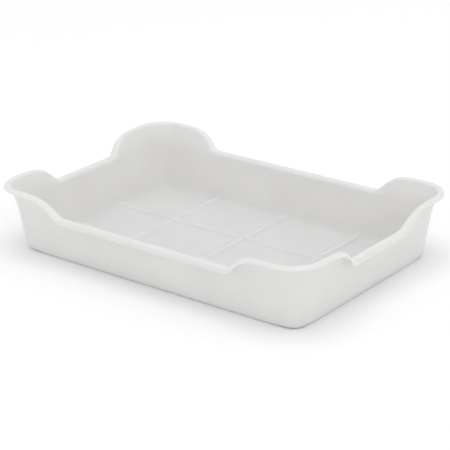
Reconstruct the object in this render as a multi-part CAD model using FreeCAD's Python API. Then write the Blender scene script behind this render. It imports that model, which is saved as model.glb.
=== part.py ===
import FreeCAD, Part
import math
import os

# Paint roller tray: one moulded shell with a rolled rim, a raised lobe at each corner
# and rounded ribs across its floor. Millimetres. +X runs along the tray, +Y across it
# and +Z up. The underside is z = 0 and the origin is the middle of the underside.

# ---- driving dimensions ----

BASE_LENGTH = 380.0        # underside, where the outside of the wall would meet z = 0
BASE_WIDTH = 244.5
BASE_CORNER = 15.0         # plan radius of the underside's corners
WALL = 2.0                 # thickness of walls, floor and rim
DRAFT_DEG = 10.0           # lean of the walls away from vertical
FOOT_RADIUS = 3.0          # outside, between wall and underside
FLOOR_RADIUS = 6.0         # inside, between wall and floor
CORNER_FOOT_EXTRA = 5.0    # how much both of those grow in the middle of a corner
CORNER_FOOT_SPREAD = 22.0  # distance from the corner's middle over which that fades

# The rim leaves the wall through a concave bend, runs outwards as a flare, then rolls
# over. Each pair is (straight rim, top of a corner lobe).
BEND_HEIGHT = (51.6, 52.8)     # height at which the wall starts to bend outwards
BEND_RADIUS = (3.0, 60.0)      # middle of the wall thickness
FLARE_DEG = (62.0, 68.3)       # slope that the bend reaches, from horizontal
FLARE_LENGTH = (0.4, 10.5)     # straight part between the bend and the roll
ROLL_RADIUS = (4.9, 3.3)       # middle of the wall thickness
ROLL_END_DEG = (-90.0, -75.0)  # direction that the edge points, from horizontal

# Corner lobes: how far one runs each way from the middle of its corner, along the
# underside's outline, and how square-shouldered it is.
LOBE_REACH = 70.5
LOBE_SQUARENESS = 4.94
LOBE_SHOULDER = 0.717
LOBE_FOOT_BLEND = 0.104

# Floor ribs: rounded beads pressed up out of the floor, with a groove underneath.
RIB_WIDTH = 12.0
RIB_HEIGHT = 2.8
CROSS_RIB_PITCH = 101.0        # spacing of the three ribs that run across the tray
LONG_RIB_OFFSET = 39.0         # distance of the two ribs that run along it from the middle
RIB_END_INSET = 1.2            # end of a rib, inside the wall's foot, from the underside's outline
RIB_SINK = 0.1                 # how far a rib reaches down into the floor, to join it

# Spacing of the sections that the wall surface is drawn through.
CORNER_STEPS = 5               # sections in half a corner
RAMP_SPACING = 5.0             # over a lobe and its foot
RAMP_REACH = 1.4 * LOBE_REACH  # distance from a corner's arc over which that spacing is used
RUN_SPACING = 15.0             # along the straight rim
SECTIONS_PER_PATCH = 6         # the wall surface is cut into patches this many sections wide

# Points along each section. Those of the rim stand at the same shares of its length in
# every section, closer together over its last part, where a lobe's small roll is.
FOOT_STEPS = 4                 # fillet between wall and floor
WALL_STEPS = 5                 # straight part of the wall, closing up towards the bend
RIM_COARSE_SHARE = 0.8
RIM_COARSE_STEPS = 10
RIM_FINE_STEPS = 8
EDGE_STEPS = 4                 # rounded edge of the rim

LEVEL_TOLERANCE = 1e-4         # how exactly an edge of a flat face keeps its height


def mix(pair, lift):
    """Value between the straight rim (lift 0) and the top of a lobe (lift 1)."""
    return pair[0] + lift * (pair[1] - pair[0])


def lobe_lift(distance):
    """Share of the lobe's full height at a distance along the outline from its corner."""
    share = abs(distance) / LOBE_REACH
    if share < 1.0:
        level = (1.0 - share ** LOBE_SQUARENESS) ** (1.0 / LOBE_SHOULDER)
    else:
        level = -LOBE_SQUARENESS * (share - 1.0)
    soft = level + math.hypot(level, LOBE_FOOT_BLEND)
    return soft / (1.0 + math.hypot(1.0, LOBE_FOOT_BLEND))


def corner_extra(distance):
    """Growth of the foot's fillets at a distance along the outline from the corner."""
    return CORNER_FOOT_EXTRA * math.exp(-(distance / CORNER_FOOT_SPREAD) ** 2)


def spaced(first, last, spacing):
    """Evenly spaced values after first, up to and including last."""
    count = max(1, int(math.ceil(abs(last - first) / spacing)))
    return [first + (last - first) * i / count for i in range(1, count + 1)]


def straight_distances(straight_length):
    """Distances from the corner's arc along a straight side, out to the side's middle."""
    ramp_end = min(RAMP_REACH, straight_length)
    distances = spaced(0.0, ramp_end, RAMP_SPACING)
    if ramp_end < straight_length:
        distances += spaced(ramp_end, straight_length, RUN_SPACING)
    return distances


def sections():
    """Each section of one quarter: x, y, outward direction and distance from the corner.

    They run from the middle of the long side (x = 0) round the corner to the middle
    of the short side (y = 0). The distance is along the outline, from the corner's middle.
    """
    centre_x = BASE_LENGTH / 2 - BASE_CORNER
    centre_y = BASE_WIDTH / 2 - BASE_CORNER
    half_arc = BASE_CORNER * math.pi / 4
    result = []
    for run in reversed(straight_distances(centre_x)):
        result.append((centre_x - run, BASE_WIDTH / 2, 90.0, half_arc + run))
    for step in range(2 * CORNER_STEPS + 1):
        direction = 90.0 - 45.0 * step / CORNER_STEPS
        x = centre_x + BASE_CORNER * math.cos(math.radians(direction))
        y = centre_y + BASE_CORNER * math.sin(math.radians(direction))
        from_middle = BASE_CORNER * math.radians(direction - 45.0)
        result.append((x, y, direction, from_middle))
    for run in straight_distances(centre_y):
        result.append((BASE_LENGTH / 2, centre_y - run, 0.0, half_arc + run))
    return result


def rim_pieces(lift):
    """Length, first heading and last heading of the bend, the flare and the roll."""
    wall = 90.0 - DRAFT_DEG
    flare = mix(FLARE_DEG, lift)
    end = mix(ROLL_END_DEG, lift)
    bend_length = mix(BEND_RADIUS, lift) * math.radians(wall - flare)
    roll_length = mix(ROLL_RADIUS, lift) * math.radians(flare - end)
    return [
        (bend_length, wall, flare),
        (mix(FLARE_LENGTH, lift), flare, flare),
        (roll_length, flare, end),
    ]


def along_piece(start, length, first, last, distance):
    """The point a distance along a straight or evenly curved piece that leaves start."""
    out, height, _ = start
    heading = first + (last - first) * distance / length
    first_angle = math.radians(first)
    angle = math.radians(heading)
    if first == last:
        step_out = distance * math.cos(angle)
        step_up = distance * math.sin(angle)
    else:
        radius = length / (first_angle - math.radians(last))
        step_out = radius * (math.sin(first_angle) - math.sin(angle))
        step_up = radius * (math.cos(angle) - math.cos(first_angle))
    return (out + step_out, height + step_up, heading)


def along_rim(start, pieces, share):
    """The point a share of the way along the rim's pieces."""
    distance = share * sum(piece[0] for piece in pieces)
    point = start
    for length, first, last in pieces[:-1]:
        if distance <= length:
            return along_piece(point, length, first, last, distance)
        point = along_piece(point, length, first, last, length)
        distance -= length
    return along_piece(point, *pieces[-1], distance)


def rim_shares():
    """Shares of the rim's length at which its points stand."""
    coarse = [RIM_COARSE_SHARE * i / RIM_COARSE_STEPS for i in range(1, RIM_COARSE_STEPS + 1)]
    rest = 1.0 - RIM_COARSE_SHARE
    fine = [RIM_COARSE_SHARE + rest * i / RIM_FINE_STEPS for i in range(1, RIM_FINE_STEPS + 1)]
    return coarse + fine


def rim_line(lift, low):
    """Middle line of the wall from height low up to the rim's edge.

    Its points are (outward, height, heading in degrees).
    """
    tilt = math.radians(DRAFT_DEG)
    inset = WALL / 2 / math.cos(tilt)
    top = mix(BEND_HEIGHT, lift)
    line = []
    for i in range(WALL_STEPS + 1):
        height = top - (top - low) * (1.0 - i / WALL_STEPS) ** 2
        line.append((height * math.tan(tilt) - inset, height, 90.0 - DRAFT_DEG))
    bend_start = line[-1]
    pieces = rim_pieces(lift)
    for share in rim_shares():
        line.append(along_rim(bend_start, pieces, share))
    return line


def foot_points(radius, floor_height, side):
    """Fillet between the floor and one face of the wall, from the floor upwards.

    side is +0.5 for the outside face and -0.5 for the inside face.
    """
    tilt = math.radians(DRAFT_DEG)
    face = WALL * (side - 0.5) / math.cos(tilt)
    centre_height = floor_height + radius
    centre_out = face + centre_height * math.tan(tilt) - radius / math.cos(tilt)
    points = []
    for i in range(FOOT_STEPS + 1):
        angle = math.radians(-90.0 + (90.0 - DRAFT_DEG) * i / FOOT_STEPS)
        out = centre_out + radius * math.cos(angle)
        points.append((out, centre_height + radius * math.sin(angle)))
    return points


def profile(distance):
    """Section through the wall: up its outside, round the rim's edge, down its inside."""
    extra = corner_extra(distance)
    line = rim_line(lobe_lift(distance), WALL + FLOOR_RADIUS + extra)
    outside = []
    inside = []
    for out, height, heading in line:
        across = math.radians(heading)
        step_out = WALL / 2 * math.sin(across)
        step_up = -WALL / 2 * math.cos(across)
        outside.append((out + step_out, height + step_up))
        inside.append((out - step_out, height - step_up))
    edge_out, edge_height, heading = line[-1]
    edge = []
    for i in range(1, EDGE_STEPS):
        angle = math.radians(heading - 90.0 + 180.0 * i / EDGE_STEPS)
        edge.append((edge_out + WALL / 2 * math.cos(angle), edge_height + WALL / 2 * math.sin(angle)))
    lower_outside = foot_points(FOOT_RADIUS + extra, 0.0, 0.5)
    lower_inside = foot_points(FLOOR_RADIUS + extra, WALL, -0.5)
    return lower_outside + outside + edge + inside[::-1] + lower_inside[::-1]


def patch_ends(knots):
    """Every few knots of a surface, and always its last."""
    ends = list(knots[::SECTIONS_PER_PATCH])
    if len(knots) - 1 - SECTIONS_PER_PATCH * (len(ends) - 1) <= SECTIONS_PER_PATCH // 2:
        ends.pop()
    return ends + [knots[-1]]


def patches(surface):
    """The surface cut along its own knots into small faces, which keep its shape exactly."""
    u_ends = patch_ends(surface.getUKnots())
    v_ends = patch_ends(surface.getVKnots())
    faces = []
    for u_first, u_last in zip(u_ends, u_ends[1:]):
        for v_first, v_last in zip(v_ends, v_ends[1:]):
            patch = surface.copy()
            patch.segment(u_first, u_last, v_first, v_last)
            faces.append(patch.toShape())
    return faces


def wall_quarter():
    """The wall of one quarter of the tray: both faces and the rim's edge, as patches."""
    grid = []
    for x, y, direction, distance in sections():
        plan = FreeCAD.Vector(math.cos(math.radians(direction)), math.sin(math.radians(direction)), 0)
        row = []
        for out, height in profile(distance):
            row.append(FreeCAD.Vector(x, y, height) + plan * out)
        grid.append(row)
    surface = Part.BSplineSurface()
    surface.interpolate(grid)
    return Part.makeCompound(patches(surface))


def mirrored_copies(shape):
    """The shape and its mirror images in the planes x = 0 and y = 0."""
    origin = FreeCAD.Vector(0, 0, 0)
    across_x = shape.mirror(origin, FreeCAD.Vector(1, 0, 0))
    across_y = shape.mirror(origin, FreeCAD.Vector(0, 1, 0))
    both = across_x.mirror(origin, FreeCAD.Vector(0, 1, 0))
    return [shape, across_x, across_y, both]


def flat_face(quarters, height):
    """The flat face bounded by the quarters' edges that lie at one height."""
    edges = []
    for quarter in quarters:
        for edge in quarter.Edges:
            box = edge.BoundBox
            if abs(box.ZMin - height) < LEVEL_TOLERANCE and abs(box.ZMax - height) < LEVEL_TOLERANCE:
                edges.append(edge)
    return Part.Face(Part.Wire(Part.__sortEdges__(edges)))


def shell_body():
    """The tray without its ribs."""
    quarters = mirrored_copies(wall_quarter())
    faces = [flat_face(quarters, 0.0), flat_face(quarters, WALL)]
    for quarter in quarters:
        faces += quarter.Faces
    shell = Part.makeShell(faces)
    shell.sewShape()
    solid = Part.Solid(shell)
    if solid.Volume < 0:
        solid.reverse()
    return solid


def bead_radius():
    """Radius of a rib's rounded top, from its width and height."""
    return (RIB_WIDTH ** 2 / 4 + RIB_HEIGHT ** 2) / (2 * RIB_HEIGHT)


def bead(radius, half_length, along, offset, round_ends):
    """A long round bar, on the axis that a rib's top and its groove share."""
    axis_height = WALL + RIB_HEIGHT - bead_radius()
    cross = FreeCAD.Vector(along.y, along.x, 0)
    middle = cross * offset + FreeCAD.Vector(0, 0, axis_height)
    start = middle - along * half_length
    bar = Part.makeCylinder(radius, 2 * half_length, start, along)
    if not round_ends:
        return bar
    ends = [Part.makeSphere(radius, start), Part.makeSphere(radius, middle + along * half_length)]
    return bar.fuse(ends)


def rib_layout():
    """Direction, sideways offset and half length, into the foot of the wall, of each rib."""
    along_x = FreeCAD.Vector(1, 0, 0)
    along_y = FreeCAD.Vector(0, 1, 0)
    half_length = BASE_LENGTH / 2 - RIB_END_INSET
    half_width = BASE_WIDTH / 2 - RIB_END_INSET
    layout = [(along_x, offset, half_length) for offset in (-LONG_RIB_OFFSET, LONG_RIB_OFFSET)]
    layout += [(along_y, i * CROSS_RIB_PITCH, half_width) for i in (-1, 0, 1)]
    return layout


def tray():
    """The whole moulding: the shell, the ribs on its floor and the grooves under them."""
    body = shell_body()
    above = Part.makeBox(BASE_LENGTH, BASE_WIDTH, 2 * RIB_HEIGHT)
    above.translate(FreeCAD.Vector(-BASE_LENGTH / 2, -BASE_WIDTH / 2, WALL - RIB_SINK))
    ribs = []
    grooves = []
    for along, offset, reach in rib_layout():
        ribs.append(bead(bead_radius(), reach, along, offset, False).common(above))
        groove_radius = bead_radius() - WALL
        grooves.append(bead(groove_radius, reach - FOOT_RADIUS - RIB_WIDTH / 2, along, offset, True))
    body = body.fuse(ribs)
    body = body.cut(grooves)
    return body.removeSplitter()


os.makedirs("parts", exist_ok=True)
moulding = tray()
moulding.exportStep("parts/tray.step")
box = moulding.BoundBox
print("solids", len(moulding.Solids), "valid", moulding.isValid(), "volume cm3", moulding.Volume / 1000)
print("box", box.XMin, box.YMin, box.ZMin, box.XMax, box.YMax, box.ZMax)
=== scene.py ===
import math

import bpy
import numpy as np
from mathutils import Matrix, Vector


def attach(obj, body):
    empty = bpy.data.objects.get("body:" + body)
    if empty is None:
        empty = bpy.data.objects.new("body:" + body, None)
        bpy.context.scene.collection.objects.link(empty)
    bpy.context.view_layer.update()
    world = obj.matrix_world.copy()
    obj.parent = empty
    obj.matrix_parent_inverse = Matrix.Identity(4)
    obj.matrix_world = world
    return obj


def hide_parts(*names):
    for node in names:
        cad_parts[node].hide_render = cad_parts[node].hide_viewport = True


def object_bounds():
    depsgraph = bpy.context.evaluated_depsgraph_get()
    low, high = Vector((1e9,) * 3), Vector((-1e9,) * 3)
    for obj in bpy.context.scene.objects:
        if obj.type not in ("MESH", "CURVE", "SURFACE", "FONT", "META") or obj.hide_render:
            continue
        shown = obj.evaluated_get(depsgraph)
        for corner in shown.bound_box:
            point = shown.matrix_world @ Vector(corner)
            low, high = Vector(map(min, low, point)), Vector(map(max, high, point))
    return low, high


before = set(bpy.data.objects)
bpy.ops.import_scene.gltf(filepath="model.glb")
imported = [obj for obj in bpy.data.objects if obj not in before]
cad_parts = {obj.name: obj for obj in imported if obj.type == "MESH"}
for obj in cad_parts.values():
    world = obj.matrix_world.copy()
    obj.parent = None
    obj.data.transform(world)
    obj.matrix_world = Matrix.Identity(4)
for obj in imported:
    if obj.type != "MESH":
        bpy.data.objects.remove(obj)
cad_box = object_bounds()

# A paint roller tray: one moulded shell of natural white plastic. Metres, in the CAD
# frame: +X along the tray, +Y across it, +Z up, origin at the middle of the underside.

# ---- the tray, as the CAD has it ----

BASE_LENGTH = 0.380          # underside, where the outside of the wall would meet z = 0
BASE_WIDTH = 0.2445
BASE_CORNER = 0.015          # plan radius of the underside's corners
WALL = 0.0020                # thickness of walls, floor and rim
DRAFT = math.radians(10.0)   # lean of the walls away from vertical
FOOT_RADIUS = 0.0030         # outside, between wall and underside
FLOOR_RADIUS = 0.0060        # inside, between wall and floor
CORNER_FOOT_EXTRA = 0.0050   # how much both of those grow in the middle of a corner
CORNER_FOOT_SPREAD = 0.022   # distance from the corner's middle over which that fades

# Each pair is (straight rim, top of a corner lobe).
BEND_HEIGHT = (0.0516, 0.0528)   # where the wall starts to bend outwards
BEND_RADIUS = (0.0030, 0.0600)   # middle of the wall thickness
FLARE_DEG = (62.0, 68.3)         # slope that the bend reaches, from horizontal
FLARE_LENGTH = (0.0004, 0.0105)  # straight part between the bend and the roll
ROLL_RADIUS = (0.0049, 0.0033)   # middle of the wall thickness
ROLL_END_DEG = (-90.0, -75.0)    # direction that the rim's edge points, from horizontal

LOBE_REACH = 0.0705          # along the outline, each way from the middle of a corner
LOBE_SQUARENESS = 4.94
LOBE_SHOULDER = 0.717
LOBE_FOOT_BLEND = 0.104

RIB_WIDTH = 0.0120
RIB_HEIGHT = 0.0028
CROSS_RIB_PITCH = 0.101      # spacing of the three ribs that run across the tray
LONG_RIB_OFFSET = 0.039      # distance of the two ribs that run along it from the middle
RIB_FOOT_BLEND = 0.0007      # softness where a rib meets the floor
RIB_CROSSING_POWER = 8       # how tightly two ribs merge where they cross
GROOVE_WIDTH = 0.0100
GROOVE_END_FADE = 0.012      # length over which a groove under a rib runs out

# ---- how finely the surface is drawn ----

GRID_SPACING = 0.0030
RIB_GRID_SPACING = 0.0010
CORNER_STEPS = 16
FILLET_STEPS = 8
WALL_STEPS = 8
BEND_STEPS = 8
FLARE_STEPS = 6
ROLL_STEPS = 14
EDGE_STEPS = 8
STEP_ROUNDING = 1e-6         # so that a whole number of steps isn't rounded up to one more
SIDE_COSINE = 0.999          # a direction this near to an axis belongs to a straight side


def mix(pair, share):
    """Value between the first of a pair (share 0) and the second (share 1)."""
    return pair[0] + share * (pair[1] - pair[0])


def smooth_step(value):
    """0 below 0, 1 above 1, and a smooth climb between."""
    share = np.clip(value, 0.0, 1.0)
    return share * share * (3.0 - 2.0 * share)


# ---- the tray's mesh ----

def lobe_lift(distance):
    """Share of the lobe's full height at a distance along the outline from its corner."""
    share = abs(distance) / LOBE_REACH
    if share < 1.0:
        level = (1.0 - share ** LOBE_SQUARENESS) ** (1.0 / LOBE_SHOULDER)
    else:
        level = -LOBE_SQUARENESS * (share - 1.0)
    soft = level + math.hypot(level, LOBE_FOOT_BLEND)
    return soft / (1.0 + math.hypot(1.0, LOBE_FOOT_BLEND))


def corner_extra(distance):
    """Growth of the foot's fillets at a distance along the outline from the corner."""
    return CORNER_FOOT_EXTRA * math.exp(-(distance / CORNER_FOOT_SPREAD) ** 2)


def arc_line(start, radius, first, last, steps):
    """Points (outward, height, heading) of an arc that leaves start smoothly."""
    points = []
    for i in range(1, steps + 1):
        heading = first + (last - first) * i / steps
        out = start[0] + radius * (math.sin(first) - math.sin(heading))
        height = start[1] + radius * (math.cos(heading) - math.cos(first))
        points.append((out, height, heading))
    return points


def straight_line(start, length, steps):
    """Points (outward, height, heading) of a straight run that leaves start."""
    out, height, heading = start
    points = []
    for i in range(1, steps + 1):
        run = length * i / steps
        points.append((out + run * math.cos(heading), height + run * math.sin(heading), heading))
    return points


def rim_line(lift, low):
    """Middle line of the wall from height low up, as (outward, height, heading)."""
    wall_heading = math.pi / 2 - DRAFT
    inset = WALL / 2 / math.cos(DRAFT)
    top = mix(BEND_HEIGHT, lift)
    line = []
    for i in range(WALL_STEPS + 1):
        height = low + (top - low) * i / WALL_STEPS
        line.append((height * math.tan(DRAFT) - inset, height, wall_heading))
    flare = math.radians(mix(FLARE_DEG, lift))
    roll_end = math.radians(mix(ROLL_END_DEG, lift))
    line += arc_line(line[-1], mix(BEND_RADIUS, lift), wall_heading, flare, BEND_STEPS)
    line += straight_line(line[-1], mix(FLARE_LENGTH, lift), FLARE_STEPS)
    line += arc_line(line[-1], mix(ROLL_RADIUS, lift), flare, roll_end, ROLL_STEPS)
    return line


def fillet(radius, floor_height, face_out):
    """Points (outward, height, normal out, normal up) from the floor up to the wall."""
    centre_height = floor_height + radius
    centre_out = face_out + centre_height * math.tan(DRAFT) - radius / math.cos(DRAFT)
    points = []
    for i in range(FILLET_STEPS + 1):
        angle = -math.pi / 2 + (math.pi / 2 - DRAFT) * i / FILLET_STEPS
        out = centre_out + radius * math.cos(angle)
        height = centre_height + radius * math.sin(angle)
        points.append((out, height, math.cos(angle), math.sin(angle)))
    return points


def floor_fillet(distance):
    """Inside fillet between floor and wall, at a distance from the corner's middle."""
    return fillet(FLOOR_RADIUS + corner_extra(distance), WALL, -WALL / math.cos(DRAFT))


def wall_profile(distance):
    """Section through the wall: up its outside, round the rim's edge, down its inside."""
    extra = corner_extra(distance)
    outside = [point[:2] for point in fillet(FOOT_RADIUS + extra, 0.0, 0.0)]
    inside = [point[:2] for point in floor_fillet(distance)]
    line = rim_line(lobe_lift(distance), WALL + FLOOR_RADIUS + extra)
    for out, height, heading in line:
        across = (WALL / 2 * math.sin(heading), -WALL / 2 * math.cos(heading))
        outside.append((out + across[0], height + across[1]))
        inside.append((out - across[0], height - across[1]))
    edge_out, edge_height, heading = line[-1]
    edge = []
    for i in range(1, EDGE_STEPS):
        angle = heading - math.pi / 2 + math.pi * i / EDGE_STEPS
        edge.append((edge_out + WALL / 2 * math.cos(angle), edge_height + WALL / 2 * math.sin(angle)))
    return np.array(outside + edge + inside[::-1])


def grid_lines(half_length, rib_centres):
    """Line positions from -half_length to half_length, close together at each rib."""
    stops = {0.0, half_length}
    for centre in rib_centres:
        stops.update((max(0.0, centre - RIB_WIDTH), centre, centre + RIB_WIDTH))
    stops = sorted(stops)
    positions = [0.0]
    for first, last in zip(stops, stops[1:]):
        near_rib = any(abs((first + last) / 2 - centre) < RIB_WIDTH for centre in rib_centres)
        spacing = RIB_GRID_SPACING if near_rib else GRID_SPACING
        count = max(1, math.ceil((last - first) / spacing - STEP_ROUNDING))
        positions += [first + (last - first) * i / count for i in range(1, count + 1)]
    positions = np.array(positions)
    return np.concatenate([-positions[:0:-1], positions])


def outline_sections(lines_x, lines_y):
    """Place, outward direction and distance from a corner's middle, round the outline."""
    reach_x, reach_y = lines_x[-1], lines_y[-1]
    half_arc = BASE_CORNER * math.pi / 4
    corner_angles = [math.pi / 2 * i / CORNER_STEPS for i in range(1, CORNER_STEPS)]
    sides = (
        (lines_x, reach_x, lambda t: (t, -reach_y - BASE_CORNER), -math.pi / 2, (reach_x, -reach_y)),
        (lines_y, reach_y, lambda t: (reach_x + BASE_CORNER, t), 0.0, (reach_x, reach_y)),
        (-lines_x, reach_x, lambda t: (t, reach_y + BASE_CORNER), math.pi / 2, (-reach_x, reach_y)),
        (-lines_y, reach_y, lambda t: (-reach_x - BASE_CORNER, t), math.pi, (-reach_x, -reach_y)),
    )
    sections = []
    for positions, reach, place, direction, centre in sides:
        for t in positions:
            x, y = place(t)
            sections.append((x, y, direction, half_arc + reach - abs(t)))
        for angle in corner_angles:
            x = centre[0] + BASE_CORNER * math.cos(direction + angle)
            y = centre[1] + BASE_CORNER * math.sin(direction + angle)
            sections.append((x, y, direction + angle, BASE_CORNER * (angle - math.pi / 4)))
    return sections


def rib_section(distance, width, height):
    """Height of a rounded rib or groove at a distance from its middle line."""
    level = height * (1.0 - (2.0 * distance / width) ** 2)
    soft = level + np.hypot(level, RIB_FOOT_BLEND)
    return soft * height / (height + math.hypot(height, RIB_FOOT_BLEND))


def rib_height(x, y, width, fade_x=1.0, fade_y=1.0):
    """Height of the pattern of ribs over a point of the floor.

    fade_x and fade_y scale the ribs that run along X and along Y.
    """
    long_ribs = rib_section(np.abs(y) - LONG_RIB_OFFSET, width, RIB_HEIGHT) * fade_x
    nearest = np.round(np.clip(x / CROSS_RIB_PITCH, -1, 1)) * CROSS_RIB_PITCH
    cross_ribs = rib_section(x - nearest, width, RIB_HEIGHT) * fade_y
    power = RIB_CROSSING_POWER
    return (long_ribs ** power + cross_ribs ** power) ** (1.0 / power)


def floor_height(x, y):
    """Height of the floor's upper face."""
    return WALL + rib_height(x, y, RIB_WIDTH)


def underside_height(x, y):
    """Height of the underside, with a groove under each rib that ends before the foot."""
    fade_x = smooth_step((BASE_LENGTH / 2 - BASE_CORNER - np.abs(x)) / GROOVE_END_FADE)
    fade_y = smooth_step((BASE_WIDTH / 2 - BASE_CORNER - np.abs(y)) / GROOVE_END_FADE)
    return rib_height(x, y, GROOVE_WIDTH, fade_x, fade_y)


def end_of_rib(x, y, direction):
    """Height of a rib where it runs into the wall, which is nothing round a corner."""
    if abs(math.cos(direction)) > SIDE_COSINE:
        return rib_height(x, y, RIB_WIDTH, 1.0, 0.0)
    if abs(math.sin(direction)) > SIDE_COSINE:
        return rib_height(x, y, RIB_WIDTH, 0.0, 1.0)
    return 0.0


def wall_vertices(sections):
    """Vertices of the wall, one row of the profile for each section."""
    rows = []
    for x, y, direction, distance in sections:
        profile = wall_profile(distance)
        rib = end_of_rib(x, y, direction)
        for i, (_, _, normal_out, normal_up) in enumerate(floor_fillet(distance)):
            fade = float(smooth_step(1.0 - i / (FILLET_STEPS - 1)))
            profile[-1 - i, 0] -= rib * fade * normal_out
            profile[-1 - i, 1] -= rib * fade * normal_up
        out, height = profile.T
        row_x = x + out * math.cos(direction)
        row_y = y + out * math.sin(direction)
        rows.append(np.column_stack([row_x, row_y, height]))
    return np.array(rows)


def wall_faces(count, per_row):
    """Faces between each section of the wall and the next, all the way round."""
    faces = []
    for i in range(count):
        here = i * per_row
        after = (i + 1) % count * per_row
        for j in range(per_row - 1):
            faces.append((here + j, after + j, after + j + 1, here + j + 1))
    return faces


def floor_faces(loop, grid, first_index, upward):
    """Faces from a grid of floor vertices out to the closed loop of the wall's foot.

    loop holds the vertex numbers round the wall's foot, in the order of the sections.
    """
    rows, columns = grid
    number = [[first_index + i * columns + j for j in range(columns)] for i in range(rows)]
    faces = []
    for i in range(rows - 1):
        for j in range(columns - 1):
            faces.append((number[i][j], number[i + 1][j], number[i + 1][j + 1], number[i][j + 1]))
    south = [row[0] for row in number]
    east = number[-1]
    north = [row[-1] for row in reversed(number)]
    west = number[0][::-1]
    start = 0
    for side in (south, east, north, west):
        for k in range(len(side) - 1):
            faces.append((loop[start + k], loop[start + k + 1], side[k + 1], side[k]))
        start += len(side) - 1
        for k in range(CORNER_STEPS):
            faces.append((loop[start + k], loop[(start + k + 1) % len(loop)], side[-1]))
        start += CORNER_STEPS
    return faces if upward else [face[::-1] for face in faces]


def tray_mesh():
    """The whole tray as one closed mesh."""
    lines_x = grid_lines(BASE_LENGTH / 2 - BASE_CORNER, (0.0, CROSS_RIB_PITCH))
    lines_y = grid_lines(BASE_WIDTH / 2 - BASE_CORNER, (LONG_RIB_OFFSET,))
    wall = wall_vertices(outline_sections(lines_x, lines_y))
    count, per_row = wall.shape[:2]
    faces = wall_faces(count, per_row)
    vertices = [wall.reshape(-1, 3)]
    x, y = np.meshgrid(lines_x, lines_y, indexing="ij")
    for surface, column, upward in ((floor_height, per_row - 1, True), (underside_height, 0, False)):
        first_index = sum(len(block) for block in vertices)
        z = surface(x, y)
        vertices.append(np.column_stack([x.ravel(), y.ravel(), z.ravel()]))
        loop = [i * per_row + column for i in range(count)]
        faces += floor_faces(loop, x.shape, first_index, upward)
    mesh = bpy.data.meshes.new("tray_shell")
    mesh.from_pydata(np.concatenate(vertices).tolist(), [], faces)
    mesh.validate()
    mesh.shade_smooth()
    return mesh


# ---- materials ----

# Natural white polypropylene. Pattern scales are per metre and depths are in metres.
CLOUD_COLOURS = ((0.692, 0.689, 0.683, 1.0), (0.717, 0.714, 0.708, 1.0))
CLOUD_LEVELS = (0.3, 0.7)          # of the pattern, for the first and the second colour
CLOUD_SCALE = 22.0
ROUGHNESS_RANGE = (0.36, 0.50)
SHEEN_SCALE = 60.0
GRAIN_SCALE = 2200.0
GRAIN_STRENGTH = 0.12
GRAIN_DEPTH = 0.0001
WAVE_SCALE = 30.0
WAVE_STRENGTH = 0.5
WAVE_DEPTH = 0.0003
REFRACTIVE_INDEX = 1.49
SCATTER_DEPTH = 0.004
SCATTER_SHARES = (1.0, 0.98, 0.94)  # of that depth, for red, green and blue

PAPER_COLOUR = (0.95, 0.95, 0.95, 1.0)


def new_material(name):
    """A node material and its Principled shader."""
    material = bpy.data.materials.new(name)
    material.use_nodes = True
    return material, material.node_tree.nodes["Principled BSDF"]


def add_node(tree, kind, inputs=None):
    """A new node, with the values of its named inputs."""
    node = tree.nodes.new(kind)
    for name, value in (inputs or {}).items():
        node.inputs[name].default_value = value
    return node


def noise(tree, place, scale, detail):
    """The value of a noise pattern that is fixed to the tray."""
    pattern = add_node(tree, "ShaderNodeTexNoise", {"Scale": scale, "Detail": detail})
    tree.links.new(place, pattern.inputs["Vector"])
    return pattern.outputs["Fac"]


def cloudy_colour(tree, place):
    """Natural white with a faint cloudiness."""
    ramp = add_node(tree, "ShaderNodeValToRGB")
    for element, level, colour in zip(ramp.color_ramp.elements, CLOUD_LEVELS, CLOUD_COLOURS):
        element.position = level
        element.color = colour
    tree.links.new(noise(tree, place, CLOUD_SCALE, detail=3.0), ramp.inputs["Fac"])
    return ramp.outputs["Color"]


def satin_roughness(tree, place):
    """Roughness that varies a little over the moulded surface."""
    low, high = ROUGHNESS_RANGE
    spread = add_node(tree, "ShaderNodeMapRange", {"To Min": low, "To Max": high})
    tree.links.new(noise(tree, place, SHEEN_SCALE, detail=4.0), spread.inputs["Value"])
    return spread.outputs["Result"]


def moulded_relief(tree, place):
    """Normals of a fine grain, over the shallow waves that a moulding cools with."""
    grain = add_node(tree, "ShaderNodeBump", {"Strength": GRAIN_STRENGTH, "Distance": GRAIN_DEPTH})
    tree.links.new(noise(tree, place, GRAIN_SCALE, detail=2.0), grain.inputs["Height"])
    waves = add_node(tree, "ShaderNodeBump", {"Strength": WAVE_STRENGTH, "Distance": WAVE_DEPTH})
    tree.links.new(noise(tree, place, WAVE_SCALE, detail=1.0), waves.inputs["Height"])
    tree.links.new(grain.outputs["Normal"], waves.inputs["Normal"])
    return waves.outputs["Normal"]


def natural_plastic():
    """Natural white polypropylene with a satin moulded surface."""
    material, shader = new_material("natural_plastic")
    tree = material.node_tree
    place = add_node(tree, "ShaderNodeTexCoord").outputs["Object"]
    tree.links.new(cloudy_colour(tree, place), shader.inputs["Base Color"])
    tree.links.new(satin_roughness(tree, place), shader.inputs["Roughness"])
    tree.links.new(moulded_relief(tree, place), shader.inputs["Normal"])
    shader.inputs["IOR"].default_value = REFRACTIVE_INDEX
    shader.inputs["Subsurface Weight"].default_value = 1.0
    shader.inputs["Subsurface Radius"].default_value = SCATTER_SHARES
    shader.inputs["Subsurface Scale"].default_value = SCATTER_DEPTH
    return material


def floor_material():
    """Matt white floor paper."""
    material, shader = new_material("floor_paper")
    shader.inputs["Base Color"].default_value = PAPER_COLOUR
    shader.inputs["Roughness"].default_value = 1.0
    shader.inputs["Specular IOR Level"].default_value = 0.0
    return material


# ---- camera, floor and light ----

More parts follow.
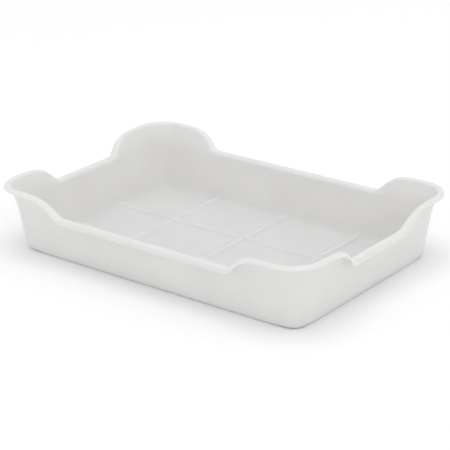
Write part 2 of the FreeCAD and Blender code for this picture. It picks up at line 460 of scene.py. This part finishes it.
VIEW_AZIMUTH = math.radians(38.398)
VIEW_ELEVATION = math.radians(21.953)
VIEW_ROLL = math.radians(-1.170)
VIEW_DISTANCE = 1.9493
VIEW_AIM = (-0.04558, 0.06242, 0.0)   # from the middle of the CAD box's underside
LENS_MM = 134.90
SENSOR_MM = 36.0
CAMERA_REACH = 60.0
FLOOR_HALF = 12.0
WORLD_STRENGTH = 0.80
SOFTBOX_SIZE = 4.8
SOFTBOX_DISTANCE = 6.0


def towards(azimuth, elevation):
    """Direction from the object to something at an azimuth from -Y and an elevation."""
    flat = math.cos(elevation)
    return Vector((math.sin(azimuth) * flat, -math.cos(azimuth) * flat, math.sin(elevation)))


def looking_matrix(place, back, roll):
    """Placement of a camera or lamp that looks along -back, turned by roll."""
    side = Vector((0, 0, 1)).cross(back).normalized()
    up = back.cross(side)
    right = side * math.cos(roll) + up * math.sin(roll)
    top = up * math.cos(roll) - side * math.sin(roll)
    turn = Matrix((right, top, back)).transposed().to_4x4()
    return Matrix.Translation(place) @ turn


def add_camera(centre):
    """The camera at the photograph's viewing angle, placed from the tray's centre."""
    data = bpy.data.cameras.new("camera")
    data.lens = LENS_MM
    data.sensor_width = SENSOR_MM
    data.clip_end = CAMERA_REACH
    camera = bpy.data.objects.new("camera", data)
    back = towards(VIEW_AZIMUTH, VIEW_ELEVATION)
    place = centre + Vector(VIEW_AIM) + back * VIEW_DISTANCE
    camera.matrix_world = looking_matrix(place, back, VIEW_ROLL)
    bpy.context.collection.objects.link(camera)
    bpy.context.scene.camera = camera


def add_softbox(name, azimuth, elevation, watts, target):
    """A large square area lamp, far off, that points at target. Its angles are in degrees."""
    data = bpy.data.lights.new(name, "AREA")
    data.shape = "SQUARE"
    data.size = SOFTBOX_SIZE
    data.energy = watts
    lamp = bpy.data.objects.new(name, data)
    back = towards(math.radians(azimuth), math.radians(elevation))
    lamp.matrix_world = looking_matrix(target + back * SOFTBOX_DISTANCE, back, 0.0)
    bpy.context.collection.objects.link(lamp)


def add_floor(height):
    """A plain pale floor far wider than the view."""
    signs = ((-1, -1), (1, -1), (1, 1), (-1, 1))
    corners = [(x * FLOOR_HALF, y * FLOOR_HALF, height) for x, y in signs]
    mesh = bpy.data.meshes.new("floor")
    mesh.from_pydata(corners, [], [(0, 1, 2, 3)])
    mesh.materials.append(floor_material())
    floor = bpy.data.objects.new("floor", mesh)
    bpy.context.collection.objects.link(floor)


def add_world():
    """Even white light from all round."""
    world = bpy.data.worlds.new("studio")
    world.use_nodes = True
    background = world.node_tree.nodes["Background"]
    background.inputs["Color"].default_value = (1.0, 1.0, 1.0, 1.0)
    background.inputs["Strength"].default_value = WORLD_STRENGTH
    bpy.context.scene.world = world


# ---- the scene ----

box_low, box_high = cad_box
centre = Vector(((box_low[0] + box_high[0]) / 2, (box_low[1] + box_high[1]) / 2, box_low[2]))
add_camera(centre)
add_floor(box_low[2])
add_world()
add_softbox("overhead", 0.0, 85.0, 91.0, centre)
add_softbox("front_fill", 40.0, 20.0, 34.0, centre)
add_softbox("side_fill", 110.0, 45.0, 23.0, centre)
bpy.context.scene.view_settings.view_transform = "Standard"

tray = bpy.data.objects.new("tray_shell", tray_mesh())
tray.data.materials.append(natural_plastic())
bpy.context.collection.objects.link(tray)
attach(tray, "root")
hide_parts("tray")
